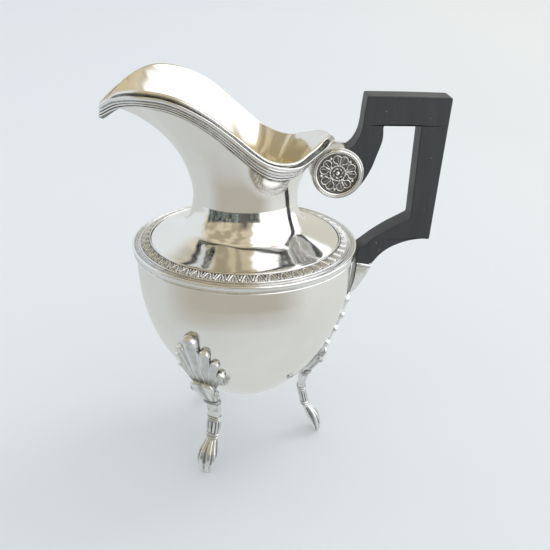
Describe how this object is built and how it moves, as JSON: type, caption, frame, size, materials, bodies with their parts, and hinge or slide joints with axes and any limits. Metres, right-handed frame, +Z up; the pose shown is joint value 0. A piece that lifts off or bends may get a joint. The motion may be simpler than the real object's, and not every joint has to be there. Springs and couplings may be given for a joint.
{
  "type": "cream jug",
  "caption": "Egg-shaped silver cream jug on paw feet with a tall flared spout, reeded lip, leaf-banded shoulder and an angular ebony handle held by a rosette drum.",
  "frame": {"origin": "on the table plane, under the middle of the overall bounding box", "axes": "+Z up, +X towards the handle, -X towards the spout, the jug is mirror-symmetric about the XZ plane"},
  "size_m": [0.117, 0.08, 0.1408],
  "materials": {
    "silver": "polished silver, lightly worn, gilt wash inside the neck",
    "cast_silver": "cast and chased silver with dark recesses",
    "ebony": "satin ebonised wood, a little chipped at the edges"
  },
  "bodies": {
    "root": {"bowl": "silver", "neck_spout": "silver", "lip_moulding": "silver", "shoulder_band": "cast_silver", "girdle_moulding": "silver", "leg_1": "cast_silver", "leg_2": "cast_silver", "leg_3": "cast_silver", "palmette_1": "cast_silver", "palmette_2": "cast_silver", "palmette_3": "cast_silver", "clip_1": "cast_silver", "clip_2": "cast_silver", "clip_3": "cast_silver", "handle": "ebony", "upper_socket": "silver", "lower_socket": "silver", "handle_pin": "silver", "bezel_front": "silver", "bezel_back": "silver", "rosette_front": "cast_silver", "rosette_back": "cast_silver"}
  },
  "joints": []
}
